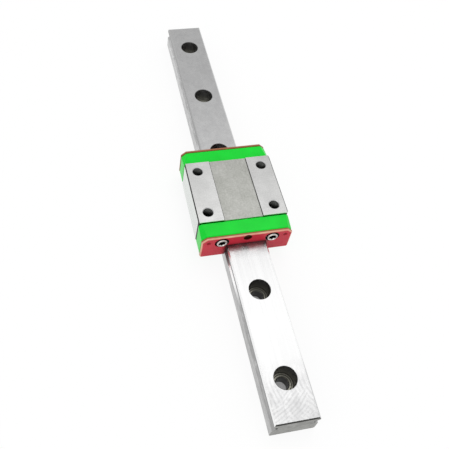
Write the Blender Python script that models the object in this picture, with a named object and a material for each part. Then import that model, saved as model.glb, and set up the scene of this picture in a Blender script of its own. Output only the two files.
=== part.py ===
"""Miniature profile rail with a recirculating ball carriage.

The rail lies along Y. Its underside is on Z = 0 and its middle is over the origin.
The carriage pieces are modelled about the carriage's own middle and hang on an empty
that stands on the rail's centre line. The front end is the one at -Y.
"""

import math

import bmesh
import bpy
from mathutils import Matrix, Vector

# Rail
RAIL_LENGTH = 0.147
RAIL_WIDTH = 0.012
RAIL_HEIGHT = 0.008
RAIL_TOP_CHAMFER = 0.0005
RAIL_FOOT_CHAMFER = 0.0003
RAIL_HOLE_PITCH = 0.025
RAIL_END_MARGIN = 0.006
RAIL_HOLE_DIAMETER = 0.0035
COUNTERBORE_DIAMETER = 0.006
COUNTERBORE_DEPTH = 0.0045

# Carriage block
CARRIAGE_REST_Y = -0.0061
CARRIAGE_TOP = 0.013
CARRIAGE_CLEARANCE_UNDER = 0.003
BLOCK_LENGTH = 0.0217
BLOCK_WIDTH = 0.027
BLOCK_TOP_CHAMFER = 0.0003
BLOCK_FOOT_CHAMFER = 0.0005
BLOCK_CORNER_CHAMFER = 0.0006
PAD_WIDTH = 0.00765
PAD_STEP = 0.0003
CHANNEL_GAP = 0.0006
TOP_HOLE_SIDE_MARGIN = 0.0035
TOP_HOLE_END_MARGIN = 0.00335
TOP_HOLE_DIAMETER = 0.0029
TOP_HOLE_DEPTH = 0.0035
TOP_HOLE_CHAMFER = 0.0003
TOP_HOLE_POINT = 0.0007

# Ball circuits
BALL_DIAMETER = 0.002381
BALL_DROP = 0.0026
BALL_OUT_OF_RAIL = 0.0003
BALL_PLAY = 0.00005
BALL_SPACING_GAP = 0.00025
RETURN_SPAN = 0.0036
RETURN_RISE = 0.0003
TRACK_PLAY = 0.0001
GUIDE_RIM_SETBACK = 0.0007
GUIDE_SIDE_SETBACK = 0.0001
GUIDE_SEAT_GAP = 0.0001
GUIDE_SIDE_PLAY = 0.00005

# Ball retainer wires
WIRE_DIAMETER = 0.0005
WIRE_GAP = 0.00006
WIRE_RELIEF_GAP = 0.00015
WIRE_BEND_RADIUS = 0.0005
WIRE_HOOK_DEPTH = 0.0008
WIRE_SLOT_WALL = 0.0003
WIRE_SLOT_GAP = 0.0001

# End caps
CAP_THICKNESS = 0.0046
CAP_SIDE_STEP = 0.00005
CAP_TOP_DROP = 0.0006
CAP_FOOT_RISE = 0.0002
CAP_INNER_CHAMFER = 0.0007
CAP_OUTER_CHAMFER = 0.0015
CAP_FOOT_CHAMFER = 0.0006
CAP_SEAM = 0.0001
GREASE_PORT_DIAMETER = 0.0018
GREASE_PORT_DROP = 0.002
PEG_DIAMETER = 0.0009
PEG_SIDE_MARGIN = 0.0021
PEG_DROP = 0.0028
PEG_SINK = 0.0003

# End seals
SEAL_THICKNESS = 0.0008
SEAL_TOP_DROP = 0.0007
SEAL_FOOT_RISE = 0.0001
SEAL_CORNER = 0.0015
SEAL_FOOT_CORNER = 0.0004
SEAL_LIP_GAP = 0.0001
SEAL_SEAM = 0.00005
SEAL_HOLE_GAP = 0.0004
SEAL_PORT_DIAMETER = 0.0023
SEAL_PEG_GAP = 0.0001

# End screws
SCREW_FROM_CHANNEL = 0.0009
SCREW_DROP = 0.0032
SCREW_SHANK_DIAMETER = 0.0015
SCREW_LENGTH = 0.008
SCREW_HEAD_DIAMETER = 0.0032
SCREW_HEAD_HEIGHT = 0.0016
SCREW_HEAD_EDGE = 0.0003
SCREW_SOCKET_WIDTH = 0.0014
SCREW_SOCKET_DEPTH = 0.0007
SCREW_SEAT_DEPTH = 0.0004
SCREW_SEAT_GAP = 0.00005
SCREW_SIDE_GAP = 0.00005
SCREW_HEAD_GAP = 0.0002
SCREW_TIP_GAP = 0.0003

# Facets and how far a cutter passes the face it opens
HOLE_SIDES = 24
SMALL_SIDES = 16
SOCKET_SIDES = 6
GROOVE_STEPS = 8
TURN_STEPS = 10
BEND_STEPS = 4
WIRE_STEPS = 2
BALL_STEPS = 2
SMOOTH_ANGLE = math.radians(35)
OVERSHOOT = 0.0005
WELD = 0.000001

# Sizes of the carriage that follow from the ones above
BALL_RADIUS = BALL_DIAMETER / 2
BALL_HEIGHT = RAIL_HEIGHT - BALL_DROP
TRACK_X = RAIL_WIDTH / 2 + BALL_OUT_OF_RAIL
RETURN_X = TRACK_X + RETURN_SPAN
RETURN_HEIGHT = BALL_HEIGHT + RETURN_RISE
GROOVE_RADIUS = BALL_RADIUS + BALL_PLAY
TUBE_RADIUS = BALL_RADIUS + TRACK_PLAY
CHANNEL_X = RAIL_WIDTH / 2 + CHANNEL_GAP
CHANNEL_TOP = RAIL_HEIGHT + CHANNEL_GAP
PAD_INNER_X = BLOCK_WIDTH / 2 - PAD_WIDTH
TOP_HOLE_X = BLOCK_WIDTH / 2 - TOP_HOLE_SIDE_MARGIN
TOP_HOLE_Y = BLOCK_LENGTH / 2 - TOP_HOLE_END_MARGIN
CAP_WIDTH = BLOCK_WIDTH - 2 * CAP_SIDE_STEP
CAP_INNER_Y = BLOCK_LENGTH / 2 + CAP_SEAM
CAP_OUTER_Y = CAP_INNER_Y + CAP_THICKNESS
GREASE_PORT_HEIGHT = CARRIAGE_TOP - GREASE_PORT_DROP
PEG_X = CAP_WIDTH / 2 - PEG_SIDE_MARGIN
PEG_HEIGHT = CARRIAGE_TOP - PEG_DROP
SEAL_INNER_Y = CAP_OUTER_Y + SEAL_SEAM
SEAL_OUTER_Y = SEAL_INNER_Y + SEAL_THICKNESS
SCREW_X = CHANNEL_X + SCREW_FROM_CHANNEL
SCREW_HEIGHT = CARRIAGE_TOP - SCREW_DROP

# Sizes of the turns and wires that follow from the ones above
TURN_SPAN = Vector((RETURN_SPAN, 0, RETURN_RISE))
TURN_RADIUS = TURN_SPAN.length / 2
GUIDE_RADIUS = TURN_RADIUS - GUIDE_RIM_SETBACK
GUIDE_HALF = TUBE_RADIUS - GUIDE_SIDE_SETBACK
WIRE_RADIUS = WIRE_DIAMETER / 2
WIRE_X = TRACK_X - BALL_RADIUS - WIRE_GAP - WIRE_RADIUS
WIRE_END_Y = CAP_INNER_Y + TURN_RADIUS + TUBE_RADIUS + WIRE_SLOT_WALL + WIRE_SLOT_GAP + WIRE_RADIUS
WIRE_HOOK_X = CHANNEL_X + WIRE_HOOK_DEPTH
SCREW_SEAT_Y = CAP_OUTER_Y - SCREW_SEAT_DEPTH

SIDES = {"left": -1, "right": 1}
ENDS = {"front": -1, "rear": 1}


def clear_scene():
    for item in list(bpy.data.objects):
        bpy.data.objects.remove(item, do_unlink=True)


def make_material(name, color, roughness, metallic):
    material = bpy.data.materials.new(name)
    material.use_nodes = True
    shader = material.node_tree.nodes["Principled BSDF"]
    shader.inputs["Base Color"].default_value = (*color, 1.0)
    shader.inputs["Roughness"].default_value = roughness
    shader.inputs["Metallic"].default_value = metallic
    material.diffuse_color = (*color, 1.0)
    return material


def make_materials():
    return {
        "rail": make_material("ground_rail_steel", (0.62, 0.62, 0.61), 0.22, 1.0),
        "block": make_material("ground_block_steel", (0.56, 0.56, 0.55), 0.35, 1.0),
        "cap": make_material("green_plastic", (0.02, 0.62, 0.05), 0.3, 0.0),
        "seal": make_material("red_plastic", (0.48, 0.02, 0.05), 0.35, 0.0),
        "screw": make_material("stainless_screw", (0.68, 0.67, 0.65), 0.2, 1.0),
        "wire": make_material("spring_wire", (0.45, 0.45, 0.44), 0.3, 1.0),
        "guide": make_material("white_guide_plastic", (0.75, 0.75, 0.72), 0.4, 0.0),
        "ball": make_material("bearing_steel", (0.74, 0.74, 0.73), 0.08, 1.0),
    }


def along_y(a, b, depth):
    return (a, depth, b)


def along_z(a, b, depth):
    return (a, b, depth)


def loft(first, second, start, end, along):
    """A closed solid between two outlines with as many points as each other."""
    mesh = bmesh.new()
    low = [mesh.verts.new(along(a, b, start)) for a, b in first]
    high = [mesh.verts.new(along(a, b, end)) for a, b in second]
    mesh.faces.new(low)
    mesh.faces.new(high)
    for index in range(len(low)):
        mesh.faces.new((low[index - 1], low[index], high[index], high[index - 1]))
    bmesh.ops.recalc_face_normals(mesh, faces=mesh.faces)
    return mesh


def prism(outline, start, end, along):
    return loft(outline, outline, start, end, along)


def box(low, high):
    outline = [(low[0], low[1]), (high[0], low[1]), (high[0], high[1]), (low[0], high[1])]
    return prism(outline, low[2], high[2], along_z)


def turned(profile, sides):
    """Turn a run of (radius, height) points, from the Z axis back to it, round Z."""
    mesh = bmesh.new()
    verts = [mesh.verts.new((radius, 0, height)) for radius, height in profile]
    edges = [mesh.edges.new(pair) for pair in zip(verts, verts[1:])]
    bmesh.ops.spin(
        mesh, geom=verts + edges, cent=(0, 0, 0), axis=(0, 0, 1), angle=math.tau, steps=sides, use_merge=True
    )
    bmesh.ops.remove_doubles(mesh, verts=mesh.verts, dist=WELD)
    bmesh.ops.recalc_face_normals(mesh, faces=mesh.faces)
    return mesh


def cylinder(radius, low, high, sides):
    return turned([(0, low), (radius, low), (radius, high), (0, high)], sides)


def arc(center, radius, start, end, steps):
    """Points on a circle, from one angle to another, both ends included."""
    angles = [start + (end - start) * step / steps for step in range(steps + 1)]
    return [(center[0] + radius * math.cos(a), center[1] + radius * math.sin(a)) for a in angles]


def mirrored(points):
    """The same points on the other side of X = 0, in the opposite order."""
    return [(-x, z) for x, z in reversed(points)]


def add_object(name, mesh, material, smooth=False):
    data = bpy.data.meshes.new(name)
    mesh.to_mesh(data)
    mesh.free()
    if smooth:
        data.shade_smooth()
        data.set_sharp_from_angle(angle=SMOOTH_ANGLE)
    if material:
        data.materials.append(material)
    item = bpy.data.objects.new(name, data)
    bpy.context.scene.collection.objects.link(item)
    return item


def place(item, parent, matrix):
    item.parent = parent
    item.matrix_local = matrix
    return item


def add_cutter(name, mesh, parent, matrix):
    cutter = place(add_object(name, mesh, None), parent, matrix)
    cutter.hide_render = True
    cutter.display_type = "WIRE"
    return cutter


def combine(target, tool, operation="DIFFERENCE"):
    modifier = target.modifiers.new(tool.name, "BOOLEAN")
    modifier.operation = operation
    modifier.solver = "EXACT"
    modifier.object = tool


def outward(end, x, y, z):
    """A frame at a point of one end, with its Z axis along the rail and out of that end."""
    return Matrix.Translation((x, end * y, z)) @ Matrix.Rotation(-end * math.pi / 2, 4, "X")


def turn_frame(side, end):
    """The frame of one ball turn: X from the loaded row to the return bore, Y out of the block."""
    across = Vector((side * TURN_SPAN.x, 0, TURN_SPAN.z)).normalized()
    out = Vector((0, end, 0))
    frame = Matrix((across, out, across.cross(out))).transposed().to_4x4()
    middle = Vector((side * (TRACK_X + RETURN_X) / 2, end * CAP_INNER_Y, (BALL_HEIGHT + RETURN_HEIGHT) / 2))
    return Matrix.Translation(middle) @ frame


def rail_groove(side_x, radius, relief):
    """The ball groove on the rail's right side, foot first, with its slot for the wire."""
    reach = math.acos((TRACK_X - side_x) / radius)
    center = (TRACK_X, BALL_HEIGHT)
    if not relief:
        return arc(center, radius, math.pi + reach, math.pi - reach, GROOVE_STEPS)
    half = WIRE_RADIUS + WIRE_RELIEF_GAP
    bottom_x = WIRE_X - half
    inner = math.asin(half / radius)
    lower = arc(center, radius, math.pi + reach, math.pi + inner, GROOVE_STEPS // 2)
    upper = arc(center, radius, math.pi - inner, math.pi - reach, GROOVE_STEPS // 2)
    slot = [(bottom_x, BALL_HEIGHT - half), (bottom_x, BALL_HEIGHT + half)]
    return lower + slot + upper


def rail_side(grow, relief):
    """The rail's right side from its foot to its top, moved outwards by grow."""
    side_x = RAIL_WIDTH / 2 + grow
    top = RAIL_HEIGHT + grow
    groove = rail_groove(side_x, GROOVE_RADIUS - grow, relief)
    return groove + [(side_x, top - RAIL_TOP_CHAMFER), (side_x - RAIL_TOP_CHAMFER, top)]


def make_rail(materials):
    foot = [(RAIL_WIDTH / 2 - RAIL_FOOT_CHAMFER, 0), (RAIL_WIDTH / 2, RAIL_FOOT_CHAMFER)]
    right = foot + rail_side(0, True)
    half = RAIL_LENGTH / 2
    rail = add_object("rail", prism(right + mirrored(right), -half, half, along_y), materials["rail"])
    seat = RAIL_HEIGHT - COUNTERBORE_DEPTH
    profile = [
        (0, -OVERSHOOT),
        (RAIL_HOLE_DIAMETER / 2, -OVERSHOOT),
        (RAIL_HOLE_DIAMETER / 2, seat),
        (COUNTERBORE_DIAMETER / 2, seat),
        (COUNTERBORE_DIAMETER / 2, RAIL_HEIGHT + OVERSHOOT),
        (0, RAIL_HEIGHT + OVERSHOOT),
    ]
    gaps = int((RAIL_LENGTH - 2 * RAIL_END_MARGIN) / RAIL_HOLE_PITCH)
    for index in range(gaps + 1):
        y = (index - gaps / 2) * RAIL_HOLE_PITCH
        shape = turned(profile, HOLE_SIDES)
        combine(rail, add_cutter(f"rail_hole_{index + 1}", shape, None, Matrix.Translation((0, y, 0))))
    return rail


def arch_outline(outer, opening):
    """A bridge-shaped outline from its right outer side and its opening's right side, both foot first."""
    return outer + mirrored(outer) + [(-x, z) for x, z in opening] + list(reversed(opening))


def outer_side(width, low, top, foot, corner):
    half = width / 2
    return [(half - foot, low), (half, low + foot), (half, top - corner), (half - corner, top)]


def channel_side(low):
    return [(CHANNEL_X, low), (CHANNEL_X, CHANNEL_TOP)]


def block_outline():
    outer = outer_side(
        BLOCK_WIDTH, CARRIAGE_CLEARANCE_UNDER, CARRIAGE_TOP, BLOCK_FOOT_CHAMFER, BLOCK_TOP_CHAMFER
    )
    pad_step = [(PAD_INNER_X, CARRIAGE_TOP), (PAD_INNER_X, CARRIAGE_TOP - PAD_STEP)]
    low, high = channel_side(CARRIAGE_CLEARANCE_UNDER)
    reach = math.acos((CHANNEL_X - TRACK_X) / GROOVE_RADIUS)
    groove = arc((TRACK_X, BALL_HEIGHT), GROOVE_RADIUS, -reach, reach, GROOVE_STEPS)
    return arch_outline(outer + pad_step, [low, *groove, high])


def chamfer_block_corners(mesh):
    def is_corner(edge):
        a, b = edge.verts
        upright = abs(a.co.y - b.co.y) < WELD and abs(a.co.x - b.co.x) < WELD
        return upright and abs(abs(a.co.x) - BLOCK_WIDTH / 2) < WELD

    corners = [edge for edge in mesh.edges if is_corner(edge)]
    bmesh.ops.bevel(
        mesh, geom=corners, offset=BLOCK_CORNER_CHAMFER, segments=1, profile=0.5, affect="EDGES", material=-1
    )


def top_hole_shape():
    radius = TOP_HOLE_DIAMETER / 2
    profile = [
        (0, -TOP_HOLE_DEPTH - TOP_HOLE_POINT),
        (radius, -TOP_HOLE_DEPTH),
        (radius, -TOP_HOLE_CHAMFER),
        (radius + TOP_HOLE_CHAMFER, 0),
        (radius + TOP_HOLE_CHAMFER, OVERSHOOT),
        (0, OVERSHOOT),
    ]
    return turned(profile, HOLE_SIDES)


def cut_top_holes(block, carriage):
    for end_name, end in ENDS.items():
        for side_name, side in SIDES.items():
            spot = (side * TOP_HOLE_X, end * TOP_HOLE_Y, CARRIAGE_TOP)
            name = f"top_hole_{end_name}_{side_name}"
            combine(block, add_cutter(name, top_hole_shape(), carriage, Matrix.Translation(spot)))


def cut_return_bores(block, carriage):
    half = BLOCK_LENGTH / 2 + OVERSHOOT
    for side_name, side in SIDES.items():
        shape = cylinder(TUBE_RADIUS, -half, half, SMALL_SIDES)
        frame = outward(1, side * RETURN_X, 0, RETURN_HEIGHT)
        combine(block, add_cutter(f"return_bore_{side_name}", shape, carriage, frame))


def cut_screw_holes(block, carriage):
    radius = SCREW_SHANK_DIAMETER / 2 + SCREW_SIDE_GAP
    tip_y = SCREW_SEAT_Y + SCREW_SEAT_GAP - SCREW_LENGTH - SCREW_TIP_GAP
    depth = BLOCK_LENGTH / 2 - tip_y
    for end_name, end in ENDS.items():
        for side_name, side in SIDES.items():
            shape = cylinder(radius, -depth, OVERSHOOT, SMALL_SIDES)
            frame = outward(end, side * SCREW_X, BLOCK_LENGTH / 2, SCREW_HEIGHT)
            combine(block, add_cutter(f"screw_hole_{end_name}_{side_name}", shape, carriage, frame))


def make_block(materials, carriage):
    half = BLOCK_LENGTH / 2
    mesh = prism(block_outline(), -half, half, along_y)
    chamfer_block_corners(mesh)
    block = place(add_object("carriage_block", mesh, materials["block"]), carriage, Matrix())
    cut_return_bores(block, carriage)
    cut_screw_holes(block, carriage)
    cut_top_holes(block, carriage)
    return block


def turn_tube_shape():
    """The way of the ball centres through one turn, as a round tube with two straight legs."""
    mesh = bmesh.new()
    outline = arc((-TURN_RADIUS, 0), TUBE_RADIUS, 0, math.tau, SMALL_SIDES)[:-1]
    start = mesh.faces.new([mesh.verts.new((x, 0, z)) for x, z in outline])
    spun = bmesh.ops.spin(
        mesh, geom=[start, *start.edges, *start.verts], cent=(0, 0, 0), axis=(0, 0, -1), angle=math.pi,
        steps=TURN_STEPS
    )
    finish = next(item for item in spun["geom_last"] if isinstance(item, bmesh.types.BMFace))
    legs = bmesh.ops.extrude_discrete_faces(mesh, faces=[start, finish])
    tips = {vert for face in legs["faces"] for vert in face.verts}
    bmesh.ops.translate(mesh, vec=(0, -OVERSHOOT, 0), verts=list(tips))
    bmesh.ops.remove_doubles(mesh, verts=mesh.verts, dist=WELD)
    bmesh.ops.recalc_face_normals(mesh, faces=mesh.faces)
    return mesh


def guide_outline(radius, foot):
    """A half disc whose straight edge is at Y = foot."""
    rim = arc((0, 0), radius, 0, math.pi, TURN_STEPS)
    return rim if foot == 0 else [*rim, (-radius, foot), (radius, foot)]


def make_turn(names, side, end, cap, materials, carriage):
    """Cut one ball turn into the cap and set its half-round guide in it."""
    frame = turn_frame(side, end)
    tube = add_cutter(f"turn_tube_{names}", turn_tube_shape(), carriage, frame)
    seat_half = GUIDE_HALF + GUIDE_SIDE_PLAY
    seat_outline = guide_outline(GUIDE_RADIUS + GUIDE_SEAT_GAP, -OVERSHOOT)
    seat_shape = prism(seat_outline, -seat_half, seat_half, along_z)
    combine(cap, add_cutter(f"guide_seat_{names}", seat_shape, carriage, frame))
    combine(cap, tube)
    shape = prism(guide_outline(GUIDE_RADIUS, 0), -GUIDE_HALF, GUIDE_HALF, along_z)
    guide = place(add_object(f"return_guide_{names}", shape, materials["guide"]), carriage, frame)
    combine(guide, tube)


def cap_outline(corner):
    low = CARRIAGE_CLEARANCE_UNDER + CAP_FOOT_RISE
    outer = outer_side(CAP_WIDTH, low, CARRIAGE_TOP - CAP_TOP_DROP, CAP_FOOT_CHAMFER, corner)
    return arch_outline(outer, channel_side(low))


def screw_passage_shape():
    """A through hole with a seat for the head; its origin is on the seat."""
    hole = SCREW_SHANK_DIAMETER / 2 + SCREW_SIDE_GAP
    head = SCREW_HEAD_DIAMETER / 2 + SCREW_HEAD_GAP
    low = -CAP_THICKNESS - OVERSHOOT
    high = SCREW_SEAT_DEPTH + OVERSHOOT
    return turned([(0, low), (hole, low), (hole, 0), (head, 0), (head, high), (0, high)], HOLE_SIDES)


def wire_slot_shape(side):
    reach = WIRE_RADIUS + WIRE_SLOT_GAP
    xs = sorted((side * (CHANNEL_X - OVERSHOOT), side * (WIRE_HOOK_X + WIRE_SLOT_GAP)))
    return box((xs[0], -reach, -reach), (xs[1], reach, reach))


def make_cap(end_name, end, materials, carriage):
    inner = cap_outline(CAP_INNER_CHAMFER)
    outer = cap_outline(CAP_OUTER_CHAMFER)
    mesh = loft(inner, outer, end * CAP_INNER_Y, end * CAP_OUTER_Y, along_y)
    cap = place(add_object(f"{end_name}_end_cap", mesh, materials["cap"]), carriage, Matrix())
    port = cylinder(GREASE_PORT_DIAMETER / 2, -CAP_THICKNESS - OVERSHOOT, OVERSHOOT, SMALL_SIDES)
    port_frame = outward(end, 0, CAP_OUTER_Y, GREASE_PORT_HEIGHT)
    combine(cap, add_cutter(f"grease_port_{end_name}", port, carriage, port_frame))
    for side_name, side in SIDES.items():
        names = f"{end_name}_{side_name}"
        passage = outward(end, side * SCREW_X, SCREW_SEAT_Y, SCREW_HEIGHT)
        combine(cap, add_cutter(f"screw_passage_{names}", screw_passage_shape(), carriage, passage))
        slot = Matrix.Translation((0, end * WIRE_END_Y, BALL_HEIGHT))
        combine(cap, add_cutter(f"wire_slot_{names}", wire_slot_shape(side), carriage, slot))
        peg_length = SEAL_SEAM + SEAL_THICKNESS - PEG_SINK
        peg = cylinder(PEG_DIAMETER / 2, -OVERSHOOT, peg_length, SMALL_SIDES)
        peg_frame = outward(end, side * PEG_X, CAP_OUTER_Y, PEG_HEIGHT)
        combine(cap, add_cutter(f"peg_{names}", peg, carriage, peg_frame), "UNION")
        make_turn(names, side, end, cap, materials, carriage)
    return cap


def seal_outline():
    low = CARRIAGE_CLEARANCE_UNDER + SEAL_FOOT_RISE
    outer = outer_side(CAP_WIDTH, low, CARRIAGE_TOP - SEAL_TOP_DROP, SEAL_FOOT_CORNER, SEAL_CORNER)
    lip = rail_side(SEAL_LIP_GAP, False)
    return arch_outline(outer, [(lip[0][0], low), *lip])


def make_seal(end_name, end, materials, carriage):
    mesh = prism(seal_outline(), end * SEAL_INNER_Y, end * SEAL_OUTER_Y, along_y)
    seal = place(add_object(f"{end_name}_end_seal", mesh, materials["seal"]), carriage, Matrix())
    low = -SEAL_THICKNESS - OVERSHOOT
    holes = [("seal_port", 0, GREASE_PORT_HEIGHT, SEAL_PORT_DIAMETER / 2)]
    for side_name, side in SIDES.items():
        head_radius = SCREW_HEAD_DIAMETER / 2 + SEAL_HOLE_GAP
        holes.append((f"seal_screw_hole_{side_name}", side * SCREW_X, SCREW_HEIGHT, head_radius))
        peg_radius = PEG_DIAMETER / 2 + SEAL_PEG_GAP
        holes.append((f"seal_peg_hole_{side_name}", side * PEG_X, PEG_HEIGHT, peg_radius))
    for name, x, z, radius in holes:
        shape = cylinder(radius, low, OVERSHOOT, HOLE_SIDES)
        combine(seal, add_cutter(f"{name}_{end_name}", shape, carriage, outward(end, x, SEAL_OUTER_Y, z)))
    return seal


def screw_shape():
    """A socket head screw along Z, with the underside of its head at Z = 0."""
    shank = SCREW_SHANK_DIAMETER / 2
    head = SCREW_HEAD_DIAMETER / 2
    profile = [
        (0, -SCREW_LENGTH),
        (shank, -SCREW_LENGTH),
        (shank, 0),
        (head, 0),
        (head, SCREW_HEAD_HEIGHT - SCREW_HEAD_EDGE),
        (head - SCREW_HEAD_EDGE, SCREW_HEAD_HEIGHT),
        (0, SCREW_HEAD_HEIGHT),
    ]
    return turned(profile, HOLE_SIDES)


def make_screw(name, side, end, materials, carriage):
    frame = outward(end, side * SCREW_X, SCREW_SEAT_Y + SCREW_SEAT_GAP, SCREW_HEIGHT)
    screw = place(add_object(name, screw_shape(), materials["screw"], smooth=True), carriage, frame)
    corner_radius = SCREW_SOCKET_WIDTH / math.sqrt(3)
    hexagon = arc((0, 0), corner_radius, 0, math.tau, SOCKET_SIDES)[:-1]
    low = SCREW_HEAD_HEIGHT - SCREW_SOCKET_DEPTH
    socket = prism(hexagon, low, SCREW_HEAD_HEIGHT + OVERSHOOT, along_z)
    combine(screw, add_cutter(f"{name}_socket", socket, carriage, frame))
    return screw


def wire_path():
    """One retainer wire's centre line on the right side, from its front hook to its rear hook."""
    bend = WIRE_BEND_RADIUS
    corner = (WIRE_X + bend, WIRE_END_Y - bend)
    rear = arc(corner, bend, math.pi, math.pi / 2, BEND_STEPS) + [(WIRE_HOOK_X, WIRE_END_Y)]
    front = [(x, -y) for x, y in reversed(rear)]
    return front + rear


def make_wire(name, side, materials, carriage):
    curve = bpy.data.curves.new(name, "CURVE")
    curve.dimensions = "3D"
    curve.bevel_depth = WIRE_RADIUS
    curve.bevel_resolution = WIRE_STEPS
    curve.use_fill_caps = True
    points = wire_path()
    spline = curve.splines.new("POLY")
    spline.points.add(len(points) - 1)
    for point, (x, y) in zip(spline.points, points):
        point.co = (side * x, y, 0, 1)
    curve.materials.append(materials["wire"])
    wire = bpy.data.objects.new(name, curve)
    bpy.context.scene.collection.objects.link(wire)
    return place(wire, carriage, Matrix.Translation((0, 0, BALL_HEIGHT)))


def ball_spots(side):
    """Ball centres round one circuit: loaded row, rear turn, return bore, front turn."""
    straight = 2 * CAP_INNER_Y
    bend = math.pi * TURN_RADIUS
    circuit = 2 * (straight + bend)
    least = 2 * TURN_RADIUS * math.asin((BALL_DIAMETER + BALL_SPACING_GAP) / (2 * TURN_RADIUS))
    count = int(circuit / least)
    loaded = Vector((side * TRACK_X, -CAP_INNER_Y, BALL_HEIGHT))
    back = Vector((side * RETURN_X, CAP_INNER_Y, RETURN_HEIGHT))
    spots = []
    for index in range(count):
        way = index * circuit / count
        if way < straight:
            spots.append(loaded + Vector((0, way, 0)))
        elif way < straight + bend:
            angle = (way - straight) / TURN_RADIUS
            turn = Vector((-math.cos(angle), math.sin(angle), 0)) * TURN_RADIUS
            spots.append(turn_frame(side, 1) @ turn)
        elif way < 2 * straight + bend:
            spots.append(back - Vector((0, way - straight - bend, 0)))
        else:
            angle = (way - 2 * straight - bend) / TURN_RADIUS
            turn = Vector((math.cos(angle), math.sin(angle), 0)) * TURN_RADIUS
            spots.append(turn_frame(side, -1) @ turn)
    return spots


def make_balls(side_name, side, materials, carriage):
    mesh = bmesh.new()
    bmesh.ops.create_icosphere(mesh, subdivisions=BALL_STEPS, radius=BALL_RADIUS)
    spots = ball_spots(side)
    first = add_object(f"ball_{side_name}_01", mesh, materials["ball"], smooth=True)
    place(first, carriage, Matrix.Translation(spots[0]))
    for index, spot in enumerate(spots[1:], start=2):
        ball = bpy.data.objects.new(f"ball_{side_name}_{index:02d}", first.data)
        bpy.context.scene.collection.objects.link(ball)
        place(ball, carriage, Matrix.Translation(spot))


def make_carriage(materials):
    carriage = bpy.data.objects.new("carriage", None)
    bpy.context.scene.collection.objects.link(carriage)
    carriage.location = (0, CARRIAGE_REST_Y, 0)
    make_block(materials, carriage)
    for end_name, end in ENDS.items():
        make_cap(end_name, end, materials, carriage)
        make_seal(end_name, end, materials, carriage)
        for side_name, side in SIDES.items():
            make_screw(f"end_screw_{end_name}_{side_name}", side, end, materials, carriage)
    for side_name, side in SIDES.items():
        make_wire(f"ball_retainer_{side_name}", side, materials, carriage)
        make_balls(side_name, side, materials, carriage)


def main():
    clear_scene()
    materials = make_materials()
    make_rail(materials)
    make_carriage(materials)


main()
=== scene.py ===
"""Miniature profile rail with its ball carriage, dressed for a studio picture.

Lengths are in metres. The rail lies along Y with its underside on Z = 0, and its front
end is the one at -Y. Carriage pieces are made about the carriage's own middle and then
moved along the rail to it.
"""
import math

import bmesh
import bpy
from mathutils import Matrix, Vector


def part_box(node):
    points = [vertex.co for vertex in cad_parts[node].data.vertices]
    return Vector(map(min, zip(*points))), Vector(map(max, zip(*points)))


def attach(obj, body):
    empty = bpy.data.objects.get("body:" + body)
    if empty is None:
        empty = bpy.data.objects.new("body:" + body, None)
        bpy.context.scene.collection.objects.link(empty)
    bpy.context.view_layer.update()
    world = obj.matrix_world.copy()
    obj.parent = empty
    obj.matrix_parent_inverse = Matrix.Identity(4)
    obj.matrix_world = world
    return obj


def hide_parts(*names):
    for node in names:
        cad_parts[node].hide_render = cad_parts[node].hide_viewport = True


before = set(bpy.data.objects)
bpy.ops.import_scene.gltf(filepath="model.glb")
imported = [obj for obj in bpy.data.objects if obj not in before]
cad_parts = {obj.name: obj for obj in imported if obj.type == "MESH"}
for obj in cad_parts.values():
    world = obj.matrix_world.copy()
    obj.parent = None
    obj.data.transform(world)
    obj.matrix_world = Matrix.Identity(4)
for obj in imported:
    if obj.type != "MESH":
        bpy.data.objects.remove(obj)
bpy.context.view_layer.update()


def middle(node):
    """The middle of a node's box."""
    low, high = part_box(node)
    return (low + high) / 2


# Rail
RAIL_LOW, RAIL_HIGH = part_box("rail")
RAIL_LENGTH = RAIL_HIGH.y - RAIL_LOW.y
RAIL_WIDTH = RAIL_HIGH.x - RAIL_LOW.x
RAIL_HEIGHT = RAIL_HIGH.z
RAIL_TOP_CHAMFER = 0.0004
RAIL_FOOT_CHAMFER = 0.0003
RAIL_END_CHAMFER = 0.0003
HOLE_PITCH = 0.025
HOLE_COUNT = 6
HOLE_RADIUS = 0.00175
COUNTERBORE_RADIUS = 0.003
COUNTERBORE_DEPTH = 0.0045
COUNTERBORE_EDGE = 0.00012
WIRE_SLOT_DEPTH = 0.00065
WIRE_SLOT_HALF = 0.0004

# Ball circuits
BALL_SPOTS = [middle(name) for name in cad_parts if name.startswith("ball_right_")]
TRACK = min(BALL_SPOTS, key=lambda spot: spot.x)
RETURN = max(BALL_SPOTS, key=lambda spot: spot.x)
BALL_RADIUS = 0.0011905
GROOVE_RADIUS = BALL_RADIUS + 0.00005
GROOVE_LOW = TRACK.z - GROOVE_RADIUS
TUBE_RADIUS = BALL_RADIUS + 0.0001

# Carriage block
BLOCK_LOW, BLOCK_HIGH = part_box("carriage_block")
CARRIAGE_Y = (BLOCK_LOW.y + BLOCK_HIGH.y) / 2
CARRIAGE_TOP = BLOCK_HIGH.z
BLOCK_LENGTH = BLOCK_HIGH.y - BLOCK_LOW.y
BLOCK_WIDTH = BLOCK_HIGH.x - BLOCK_LOW.x
BLOCK_FOOT = BLOCK_LOW.z
BLOCK_TOP_CHAMFER = 0.0003
BLOCK_FOOT_CHAMFER = 0.0005
BLOCK_CORNER_CHAMFER = 0.0006
CHANNEL_GAP = 0.0006
CHANNEL_X = RAIL_WIDTH / 2 + CHANNEL_GAP
CHANNEL_TOP = RAIL_HEIGHT + CHANNEL_GAP
PAD_WIDTH = 0.00765
PAD_INNER_X = BLOCK_WIDTH / 2 - PAD_WIDTH
PAD_STEP = 0.0003
STRIP_SLOT_WIDTH = 0.0002
STRIP_SLOT_DEPTH = 0.0002
TAPPED_X = BLOCK_WIDTH / 2 - 0.0035
TAPPED_Y = BLOCK_LENGTH / 2 - 0.00335
THREAD_PITCH = 0.0005
THREAD_TURNS = 7
THREAD_OUTER = 0.00145
THREAD_INNER = 0.00122
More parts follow.
